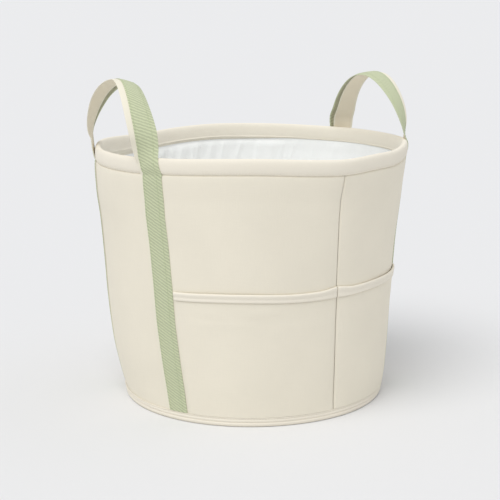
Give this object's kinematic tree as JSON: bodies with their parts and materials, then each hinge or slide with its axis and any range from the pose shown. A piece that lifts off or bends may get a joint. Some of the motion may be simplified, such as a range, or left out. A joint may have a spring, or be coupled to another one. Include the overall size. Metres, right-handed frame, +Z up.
{
  "type": "fabric storage bin",
  "caption": "Round tapered canvas storage bin with a bound rim, white lining, side pockets and fabric loop handles that fold in or out.",
  "frame": {"origin": "centre of the base, on the floor", "axes": "+Z up; the handles stand at -X (left) and +X (right); the seam between the front pockets is near -Y"},
  "size_m": [0.3612, 0.3591, 0.369],
  "materials": {
    "canvas": "plain-woven natural cotton canvas",
    "canvas_binding": "natural cotton canvas binding",
    "lining": "white woven lining",
    "foam": "white needled padding",
    "board": "plain grey-brown board",
    "green_twill": "sage green twill tape",
    "cream_twill": "cream twill backing tape"
  },
  "bodies": {
    "bin": {"shell_panel_left": "canvas", "shell_panel_right": "canvas", "wall_foam_left": "foam", "wall_foam_right": "foam", "lining_wall": "lining", "lining_base": "lining", "base_canvas": "canvas", "base_board": "board", "rim_binding": "canvas_binding", "base_binding": "canvas_binding", "pocket_front_left": "canvas", "pocket_front_right": "canvas", "pocket_back_left": "canvas", "pocket_back_right": "canvas", "pocket_binding_front_left": "canvas_binding", "pocket_binding_front_right": "canvas_binding", "pocket_binding_back_left": "canvas_binding", "pocket_binding_back_right": "canvas_binding", "left_front_leg_backing": "cream_twill", "left_front_leg_tape": "green_twill", "left_rear_leg_backing": "cream_twill", "left_rear_leg_tape": "green_twill", "right_front_leg_backing": "cream_twill", "right_front_leg_tape": "green_twill", "right_rear_leg_backing": "cream_twill", "right_rear_leg_tape": "green_twill"},
    "left_handle": {"left_loop_backing": "cream_twill", "left_loop_tape": "green_twill"},
    "right_handle": {"right_loop_backing": "cream_twill", "right_loop_tape": "green_twill"}
  },
  "joints": [
    {"name": "left_handle_fold", "type": "hinge", "parent": "bin", "child": "left_handle", "pos_m": [-0.1649, -0.00345, 0.304], "axis": [0.0209, -0.9998, 0], "range_deg": [-85, 85]},
    {"name": "right_handle_fold", "type": "hinge", "parent": "bin", "child": "right_handle", "pos_m": [0.1649, -0.00345, 0.304], "axis": [0.0209, 0.9998, 0], "range_deg": [-85, 85]}
  ]
}
